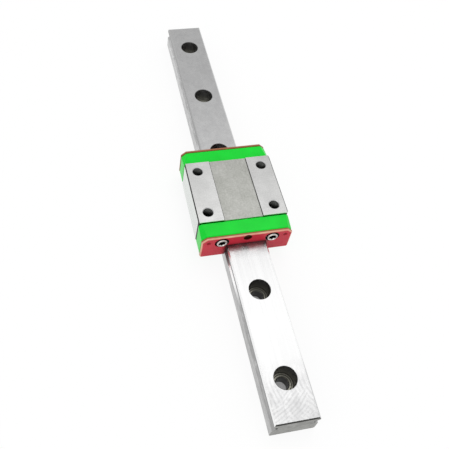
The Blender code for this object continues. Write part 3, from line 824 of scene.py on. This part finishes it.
def carved(mesh, *tools):
    """The mesh after each tool is cut from it."""
    item = scratch_object(mesh)
    helpers = [scratch_object(tool) for tool in tools]
    for helper in helpers:
        modifier = item.modifiers.new("cut", "BOOLEAN")
        modifier.operation = "DIFFERENCE"
        modifier.solver = "EXACT"
        modifier.object = helper
    result = bmesh.new()
    result.from_mesh(item.evaluated_get(bpy.context.evaluated_depsgraph_get()).to_mesh())
    for used in (item, *helpers):
        bpy.data.objects.remove(used, do_unlink=True)
    bmesh.ops.remove_doubles(result, verts=result.verts, dist=WELD)
    bmesh.ops.dissolve_degenerate(result, dist=WELD, edges=result.edges)
    return result


def together(meshes):
    """Separate bodies in one mesh."""
    whole = bmesh.new()
    for mesh in meshes:
        data = finished("scratch", mesh)
        whole.from_mesh(data)
        bpy.data.meshes.remove(data)
    return whole


def on_both_sides(make):
    """What make gives for the left side and for the right side, in one mesh."""
    return together([make(side) for side in SIDES.values()])


def show(name, mesh, finishes, choose, body, node):
    """Make the mesh a visible piece that stands for a node. choose names the finish of a
    face from its middle and its normal."""
    names = []
    for face in mesh.faces:
        finish = choose(face.calc_center_median(), face.normal)
        if finish not in names:
            names.append(finish)
        face.material_index = names.index(finish)
    shift(mesh, y=PLACES[body])
    data = finished(name, mesh)
    data.shade_smooth()
    data.set_sharp_from_angle(angle=SMOOTH_ANGLE)
    for finish in names:
        data.materials.append(finishes[finish])
    piece = put_in_scene(name, data)
    weighted = piece.modifiers.new("flat faces", "WEIGHTED_NORMAL")
    weighted.keep_sharp = True
    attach(piece, body)
    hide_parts(node)


def rail_hole():
    """One stepped hole with broken edges, as a cutter."""
    seat = RAIL_HEIGHT - COUNTERBORE_DEPTH
    edge = COUNTERBORE_EDGE
    profile = [
        (0, -PAST),
        (HOLE_RADIUS + edge + PAST, -PAST),
        (HOLE_RADIUS, edge),
        (HOLE_RADIUS, seat - edge),
        (HOLE_RADIUS + edge, seat),
        (COUNTERBORE_RADIUS, seat),
        (COUNTERBORE_RADIUS, RAIL_HEIGHT - edge),
        (COUNTERBORE_RADIUS + edge + PAST, RAIL_HEIGHT + PAST),
        (0, RAIL_HEIGHT + PAST),
    ]
    return turned(profile, FINE_SIDES)


def ball_grooves(radius, length):
    """The two ball grooves of the rail or the block, as cutters."""
    return on_both_sides(lambda side: rod(radius, length, side * TRACK.x, TRACK.z))


def wire_slots(length):
    """The slots behind the rail's grooves, where the retainer wires run."""
    width = 2 * WIRE_SLOT_HALF
    x = TRACK.x - GROOVE_RADIUS - WIRE_SLOT_DEPTH / 2 + width / 2

    def slot(side):
        return shift(brick(width, length, -width / 2, width / 2), side * x, 0, TRACK.z)

    return on_both_sides(slot)


def rail_finish(spot, normal):
    mouth = COUNTERBORE_RADIUS + COUNTERBORE_EDGE
    slot_level = abs(spot.z - TRACK.z) < WIRE_SLOT_HALF + WELD
    in_slot = slot_level and mouth < abs(spot.x) < TRACK.x - GROOVE_RADIUS + WELD
    # The retainer wire slots are painted dark as shade
    if in_slot and abs(normal.y) < 1 - FACING:
        return "painted_shade_edge_steel"
    along = ((spot.y / HOLE_PITCH) % 1 - 0.5) * HOLE_PITCH
    if math.hypot(spot.x, along) < mouth and WELD < spot.z < RAIL_HEIGHT - WELD:
        seat = normal.z > TILTED and spot.z < RAIL_HEIGHT / 2
        return "faced_seat_steel" if seat else "counterbored_steel"
    if abs(normal.y) > FACING:
        return "sawn_steel"
    # The end chamfers are painted dark as shade and dark reflection
    if abs(normal.y) > 1 - FACING:
        return "painted_shade_edge_steel"
    if normal.z > FACING:
        return "ground_rail_steel"
    top_edge = normal.z > TILTED and spot.z > RAIL_HEIGHT - RAIL_TOP_CHAMFER
    return "honed_edge_steel" if top_edge else "ground_flank_steel"


def make_rail(finishes):
    mesh = brick(RAIL_WIDTH, RAIL_LENGTH, 0, RAIL_HEIGHT)
    bevel(mesh, edges_along(mesh, 1, lambda spot: spot.z > RAIL_HEIGHT - WELD), RAIL_TOP_CHAMFER)
    bevel(mesh, edges_along(mesh, 1, lambda spot: spot.z < WELD), RAIL_FOOT_CHAMFER)
    bevel(mesh, edges_along(mesh, 0, lambda spot: spot.z > RAIL_HEIGHT - WELD), RAIL_END_CHAMFER)
    length = RAIL_LENGTH + PAST
    reach = (HOLE_COUNT - 1) / 2
    spots = [(index - reach) * HOLE_PITCH for index in range(HOLE_COUNT)]
    holes = together([shift(rail_hole(), y=spot) for spot in spots])
    mesh = carved(mesh, ball_grooves(GROOVE_RADIUS, length), wire_slots(length), holes)
    show("ground_rail", mesh, finishes, rail_finish, "rail", "rail")


def tapped_hole():
    """A threaded hole down from Z = 0, with a drill point and a chamfered mouth."""
    profile = [(0, -TAPPED_DEPTH - DRILL_POINT), (THREAD_INNER, -TAPPED_DEPTH)]
    for turn in range(THREAD_TURNS, 1, -1):
        profile.append((THREAD_INNER, -turn * THREAD_PITCH))
        profile.append((THREAD_OUTER, -(turn - 0.5) * THREAD_PITCH))
    mouth = [(THREAD_OUTER, -TAPPED_CHAMFER), (THREAD_OUTER + TAPPED_CHAMFER + PAST, PAST)]
    return turned([*profile, (THREAD_INNER, -THREAD_PITCH), *mouth, (0, PAST)])


def block_finish(spot, normal):
    from_hole = math.hypot(abs(spot.x) - TAPPED_X, abs(spot.y) - TAPPED_Y)
    top = CARRIAGE_TOP - WELD
    if from_hole < THREAD_OUTER + TAPPED_CHAMFER and spot.z < top:
        mouth = spot.z > CARRIAGE_TOP - TAPPED_CHAMFER
        return "tapped_mouth_steel" if mouth else "tapped_thread_steel"
    if normal.z > FACING:
        return "ground_pad_steel" if spot.z > top else "drawn_strip_steel"
    if abs(normal.y) > FACING:
        return "block_end_steel"
    flank = abs(spot.x) > BLOCK_WIDTH / 2 - WELD
    # Chamfers, channel, grooves and bores are painted dark as shade
    return "polished_flank_steel" if flank else "painted_shade_edge_steel"


def make_block(finishes):
    mesh = brick(BLOCK_WIDTH, BLOCK_LENGTH, BLOCK_FOOT, CARRIAGE_TOP)
    bevel(mesh, edges_along(mesh, 1, lambda spot: spot.z > CARRIAGE_TOP - WELD), BLOCK_TOP_CHAMFER)
    bevel(mesh, edges_along(mesh, 1, lambda spot: spot.z < BLOCK_FOOT + WELD), BLOCK_FOOT_CHAMFER)
    bevel(mesh, edges_along(mesh, 2, lambda spot: True), BLOCK_CORNER_CHAMFER)
    length = BLOCK_LENGTH + PAST
    strip_floor = CARRIAGE_TOP - PAD_STEP
    channel = brick(2 * CHANNEL_X, length, 0, CHANNEL_TOP)
    strip = brick(2 * PAD_INNER_X, length, strip_floor, CARRIAGE_TOP + PAST)
    slot_x = PAD_INNER_X - STRIP_SLOT_WIDTH / 2
    low, high = strip_floor - STRIP_SLOT_DEPTH, strip_floor + PAST
    slots = on_both_sides(
        lambda side: shift(brick(STRIP_SLOT_WIDTH, length, low, high), side * slot_x)
    )
    grooves = ball_grooves(GROOVE_RADIUS, length)
    returns = on_both_sides(lambda side: rod(TUBE_RADIUS, length, side * RETURN.x, RETURN.z))
    corners = [(side, end) for side in SIDES.values() for end in ENDS.values()]
    end_y = BLOCK_LENGTH / 2
    depth = end_y - SCREW_HOLE_END_Y
    screw_holes = together([
        placed(hole(SCREW_HOLE_RADIUS, depth), outward(end, side * SCREW.x, end_y, SCREW.z))
        for side, end in corners
    ])
    tapped = together([
        shift(tapped_hole(), side * TAPPED_X, end * TAPPED_Y, CARRIAGE_TOP) for side, end in corners
    ])
    mesh = carved(mesh, channel, grooves, strip, slots, returns, screw_holes, tapped)
    show("steel_block", mesh, finishes, block_finish, "carriage", "carriage_block")


def ball_turn(side, end):
    """The round way of the balls through one end, with a short straight leg at each side."""
    span = Vector((side * (RETURN.x - TRACK.x), 0, RETURN.z - TRACK.z))
    centre_y = end * (CAP_INNER_Y + TURN_SETBACK)
    centre = Vector((side * (RETURN.x + TRACK.x) / 2, centre_y, (RETURN.z + TRACK.z) / 2))
    mesh = bmesh.new()
    bmesh.ops.create_circle(mesh, cap_ends=True, segments=SMALL_SIDES, radius=TUBE_RADIUS)
    placed(mesh, Matrix.Translation((-span.length / 2, 0, 0)) @ LAID_ALONG_Y)
    start = mesh.faces[:][0]
    spun = bmesh.ops.spin(
        mesh, geom=[start, *start.edges, *start.verts], cent=(0, 0, 0), axis=(0, 0, -1),
        angle=math.pi, steps=SMALL_SIDES // 2
    )
    last = next(item for item in spun["geom_last"] if isinstance(item, bmesh.types.BMFace))
    legs = bmesh.ops.extrude_discrete_faces(mesh, faces=[start, last])
    tips = {vert for face in legs["faces"] for vert in face.verts}
    bmesh.ops.translate(mesh, vec=(0, -PAST, 0), verts=list(tips))
    bmesh.ops.remove_doubles(mesh, verts=mesh.verts, dist=WELD)
    bmesh.ops.recalc_face_normals(mesh, faces=mesh.faces)
    across = span.normalized()
    out = Vector((0, end, 0))
    turn = Matrix((across, out, across.cross(out))).transposed().to_4x4()
    return placed(mesh, Matrix.Translation(centre) @ turn)


def slice_corner(mesh, side, end):
    """Slice one slanting top corner off a cap, wider towards its outer face."""
    inner = Vector((side * (CAP_WIDTH / 2 - CAP_INNER_CORNER), end * CAP_INNER_Y, CAP_TOP))
    outer = Vector((side * (CAP_WIDTH / 2 - CAP_OUTER_CORNER), end * CAP_OUTER_Y, CAP_TOP))
    normal = (outer - inner).cross(Vector((side, 0, -1)))
    if normal.z < 0:
        normal.negate()
    cut = bmesh.ops.bisect_plane(
        mesh, geom=[*mesh.verts, *mesh.edges, *mesh.faces], plane_co=inner, plane_no=normal,
        clear_outer=True
    )
    rim = [item for item in cut["geom_cut"] if isinstance(item, bmesh.types.BMEdge)]
    bmesh.ops.holes_fill(mesh, edges=rim, sides=0)


def screw_passage():
    """The way of a screw through a cap, about the underside of its head."""
    low = SCREW_SEAT_Y - CAP_INNER_Y + PAST
    high = 2 * PAST
    recess = SCREW_RECESS_RADIUS
    return turned([
        (0, -low), (SCREW_HOLE_RADIUS, -low), (SCREW_HOLE_RADIUS, 0),
        (recess, 0), (recess, high), (0, high)
    ])


def in_hole(spot, normal, x, z, radius):
    """Whether a face is nearer than a radius to an axis along Y and isn't turned away from it."""
    across = spot.x - math.copysign(x, spot.x)
    up = spot.z - z
    return math.hypot(across, up) < radius and across * normal.x + up * normal.z < WELD


def cap_finish(spot, normal):
    in_port = in_hole(spot, normal, 0, PORT_HEIGHT, PORT_RADIUS + PORT_MOUTH)
    in_passage = in_hole(spot, normal, SCREW.x, SCREW.z, SCREW_RECESS_RADIUS + WELD)
    behind_face = abs(spot.y) <= CAP_OUTER_Y - WELD
    # The screw passages and port behind the face are painted dark as shade
    recess = behind_face and (in_port or in_passage)
    return "painted_recess_shade_plastic" if recess else "green_cap_plastic"


def make_cap(end_name, end, finishes):
    middle_y = end * (CAP_INNER_Y + CAP_OUTER_Y) / 2
    mesh = shift(brick(CAP_WIDTH, CAP_THICKNESS, CAP_FOOT, CAP_TOP), y=middle_y)
    bevel(mesh, edges_along(mesh, 1, lambda spot: spot.z < CAP_FOOT + WELD), CAP_FOOT_CHAMFER)
    for side in SIDES.values():
        slice_corner(mesh, side, end)
    round_outer_face(mesh, end * CAP_OUTER_Y, CAP_ROUNDING)
    channel = shift(brick(2 * CHANNEL_X, CAP_THICKNESS + 2 * PAST, 0, CHANNEL_TOP), y=middle_y)
    mesh = carved(mesh, channel)
    soften(mesh, CAP_EDGE, CAP_SHARP_ANGLE)
    port = hole(PORT_RADIUS, CAP_THICKNESS + PAST, PORT_MOUTH)
    placed(port, outward(end, 0, CAP_OUTER_Y, PORT_HEIGHT))
    passages = on_both_sides(
        lambda side: placed(screw_passage(), outward(end, side * SCREW.x, SCREW_SEAT_Y, SCREW.z))
    )
    turns = on_both_sides(lambda side: ball_turn(side, end))
    mesh = carved(mesh, port, passages, turns)
    name, node = f"{end_name}_moulded_cap", f"{end_name}_end_cap"
    show(name, mesh, finishes, cap_finish, "carriage", node)


def lip_opening():
    """The rail's section with a little room round it, as a cutter through a seal."""
    top = RAIL_HEIGHT + SEAL_LIP_GAP
    mesh = brick(RAIL_WIDTH + 2 * SEAL_LIP_GAP, 2 * SEAL_THICKNESS, 0, top)
    bevel(mesh, edges_along(mesh, 1, lambda spot: spot.z > top - WELD), RAIL_TOP_CHAMFER)
    return carved(mesh, ball_grooves(GROOVE_RADIUS - SEAL_LIP_GAP, 4 * SEAL_THICKNESS))


def dimple():
    """A shallow bowl, as a cutter down from Z = 0: an arc that passes the bowl's rim."""
    ball_radius = (DIMPLE_RADIUS ** 2 + DIMPLE_DEPTH ** 2) / (2 * DIMPLE_DEPTH)
    centre = ball_radius - DIMPLE_DEPTH
    reach = math.asin(DIMPLE_RADIUS / ball_radius) * DIMPLE_REACH
    angles = [step / DIMPLE_STEPS * reach for step in range(DIMPLE_STEPS + 1)]
    bowl = [
        (ball_radius * math.sin(angle), centre - ball_radius * math.cos(angle))
        for angle in angles
    ]
    return turned([*bowl, (0, PAST)])


def seal_finish(spot, normal):
    in_port = in_hole(spot, normal, 0, PORT_HEIGHT, SEAL_PORT_RADIUS + SEAL_MOUTH)
    round_screw = in_hole(spot, normal, SCREW.x, SCREW.z, SCREW_RECESS_RADIUS + SEAL_MOUTH)
    # The walls of the port and screw holes are painted dark as shade
    recess = abs(normal.y) < SLANTED and (in_port or round_screw)
    return "painted_recess_shade_plastic" if recess else "red_seal_plastic"


def make_seal(end_name, end, finishes):
    middle_y = end * (SEAL_INNER_Y + SEAL_OUTER_Y) / 2
    mesh = shift(brick(SEAL_WIDTH, SEAL_THICKNESS, SEAL_FOOT, SEAL_TOP), y=middle_y)
    bevel(mesh, edges_along(mesh, 1, lambda spot: spot.z > SEAL_TOP - WELD), SEAL_CORNER)
    bevel(mesh, edges_along(mesh, 1, lambda spot: spot.z < SEAL_FOOT + WELD), SEAL_FOOT_CORNER)
    round_outer_face(mesh, end * SEAL_OUTER_Y, SEAL_RIM)
    depth = SEAL_THICKNESS + PAST
    port = hole(SEAL_PORT_RADIUS, depth, SEAL_MOUTH)
    cuts = [placed(port, outward(end, 0, SEAL_OUTER_Y, PORT_HEIGHT))]
    for side in SIDES.values():
        screw_hole = hole(SCREW_RECESS_RADIUS, depth, SEAL_MOUTH)
        cuts.append(placed(screw_hole, outward(end, side * SCREW.x, SEAL_OUTER_Y, SCREW.z)))
        cuts.append(placed(dimple(), outward(end, side * DIMPLE_X, SEAL_OUTER_Y, DIMPLE_HEIGHT)))
    mesh = carved(mesh, shift(lip_opening(), y=middle_y), together(cuts))
    name, node = f"{end_name}_wiper_seal", f"{end_name}_end_seal"
    show(name, mesh, finishes, seal_finish, "carriage", node)


def screw_body():
    """A cap screw along Z with the underside of its head at Z = 0."""
    rounding = SCREW_HEAD_ROUNDING
    rim, top = SCREW_HEAD_RADIUS - rounding, SCREW_HEAD_HEIGHT - rounding
    steps = range(ROUNDING_STEPS + 1)
    angles = [(1 - step / ROUNDING_STEPS) * math.pi / 2 for step in steps]
    shoulder = [
        (rim + rounding * math.sin(angle), top + rounding * math.cos(angle)) for angle in angles
    ]
    shank = [(0, -SCREW_LENGTH), (SCREW_SHANK_RADIUS, -SCREW_LENGTH), (SCREW_SHANK_RADIUS, 0)]
    return turned([*shank, (SCREW_HEAD_RADIUS, 0), *shoulder, (0, SCREW_HEAD_HEIGHT)])


def socket():
    """The hexagonal hole in a screw's head, as a cutter."""
    low = SCREW_HEAD_HEIGHT - SOCKET_DEPTH
    high = SCREW_HEAD_HEIGHT + PAST
    mesh = bmesh.new()
    bmesh.ops.create_cone(
        mesh, cap_ends=True, segments=6, radius1=SOCKET_CORNER, radius2=SOCKET_CORNER,
        depth=high - low
    )
    return shift(mesh, z=(low + high) / 2)


def make_screw(end_name, end, side_name, side, finishes):
    wide = SOCKET_CORNER + SOCKET_CHAMFER + PAST
    high = SCREW_HEAD_HEIGHT + PAST
    mouth = turned([(0, high - wide), (wide, high), (0, high)])
    mesh = carved(screw_body(), socket(), mouth)
    placed(mesh, outward(end, side * SCREW.x, SCREW_SEAT_Y, SCREW.z))

    def screw_finish(spot, normal):
        in_socket = math.hypot(spot.x - side * SCREW.x, spot.z - SCREW.z) < SOCKET_CORNER
        in_head = SCREW_SEAT_Y < abs(spot.y) < SCREW_TOP_Y - WELD
        mouth_face = TILTED < abs(normal.y) < SLANTED
        # The inside of the socket is painted dark as shade
        shaded = in_socket and in_head and not mouth_face
        return "painted_socket_shade_steel" if shaded else "bright_screw_steel"

    place = f"{end_name}_{side_name}"
    name, node = f"socket_screw_{place}", f"end_screw_{place}"
    show(name, mesh, finishes, screw_finish, "carriage", node)


def dress_inner_nodes(finishes):
    """The balls, wires and guides keep their shapes and get their finishes."""
    kinds = {
        "ball_retainer": "spring_wire_steel",
        "return_guide": "white_guide_plastic",
        "ball_left": "polished_ball_steel",
        "ball_right": "polished_ball_steel",
    }
    for name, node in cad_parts.items():
        for start, finish in kinds.items():
            if name.startswith(start):
                node.data.materials.clear()
                node.data.materials.append(finishes[finish])


def seen_directly(r):
    """1 for what the camera, a mirror or a lens sees, 0 for the light that falls on things."""
    camera, glossy, clear = [
        r.node("ShaderNodeLightPath", output=name)
        for name in ("Is Camera Ray", "Is Glossy Ray", "Is Transmission Ray")
    ]
    return r.math("MAXIMUM", r.math("MAXIMUM", camera, glossy), clear)


def make_world():
    world = bpy.data.worlds.new("studio")
    bpy.context.scene.world = world
    r = Recipe(world)
    strength = r.between(seen_directly(r), 0.0, 1.0, AMBIENT, 1.0)
    background = r.node("ShaderNodeBackground", None, {"Color": WHITE, "Strength": strength})
    r.output("ShaderNodeOutputWorld", "Surface", background)


def make_floor():
    """Pale paper that reads white in the open and keeps its shadows. It hardly glows under
    the rail, so that the rail's holes look dark."""
    mesh = bmesh.new()
    bmesh.ops.create_grid(mesh, x_segments=FLOOR_CELLS, y_segments=FLOOR_CELLS, size=FLOOR_SIZE)
    floor = put_in_scene("floor", finished("floor", mesh))
    r = new_recipe("pale_floor")
    past_side = abs(r.axis("X")) - RAIL_WIDTH / 2
    past_end = abs(r.axis("Y")) - RAIL_LENGTH / 2
    out_of_rail = r.math("MAXIMUM", past_side, past_end)
    open_floor = r.between(out_of_rail, -PAST, 0.0, FLOOR_GLOW_UNDER_RAIL, 1.0)
    paper = r.node("ShaderNodeBsdfDiffuse", None, {"Color": FLOOR_COLOR})
    glow = r.node("ShaderNodeEmission", None, {"Color": WHITE, "Strength": FLOOR_GLOW_STRENGTH})
    factor = seen_directly(r) * open_floor * FLOOR_GLOW
    surface = r.node("ShaderNodeMixShader", None, {0: factor, 1: paper, 2: glow})
    floor.data.materials.append(r.output("ShaderNodeOutputMaterial", "Surface", surface))


def make_softbox(name, spot, aim, width, height, radiance):
    light = bpy.data.lights.new(name, "AREA")
    light.shape = "RECTANGLE"
    light.size = width
    light.size_y = height
    light.energy = radiance * math.pi * width * height
    item = put_in_scene(name, light)
    item.location = spot
    item.rotation_euler = (Vector(aim) - Vector(spot)).to_track_quat("-Z", "Y").to_euler()


def make_camera():
    data = bpy.data.cameras.new("camera")
    data.lens = CAMERA_LENS
    data.sensor_width = SENSOR_WIDTH
    data.shift_x, data.shift_y = CAMERA_SHIFT
    data.clip_start = 0.01
    data.clip_end = 10.0
    camera = put_in_scene("camera", data)
    turn = Matrix.Rotation(-CAMERA_TURN, 4, "Z")
    tilt = Matrix.Rotation(math.pi / 2 - CAMERA_TILT, 4, "X")
    roll = Matrix.Rotation(CAMERA_ROLL, 4, "Z")
    camera.matrix_world = Matrix.Translation(CAMERA_SPOT) @ turn @ tilt @ roll
    bpy.context.scene.camera = camera


def make_studio():
    make_world()
    make_floor()
    for name, values in SOFTBOXES.items():
        make_softbox(name, *values)
    make_camera()
    bpy.context.scene.view_settings.view_transform = "Standard"


def build():
    finishes = make_finishes()
    make_rail(finishes)
    make_block(finishes)
    for end_name, end in ENDS.items():
        make_cap(end_name, end, finishes)
        make_seal(end_name, end, finishes)
        for side_name, side in SIDES.items():
            make_screw(end_name, end, side_name, side, finishes)
    dress_inner_nodes(finishes)
    make_studio()


build()
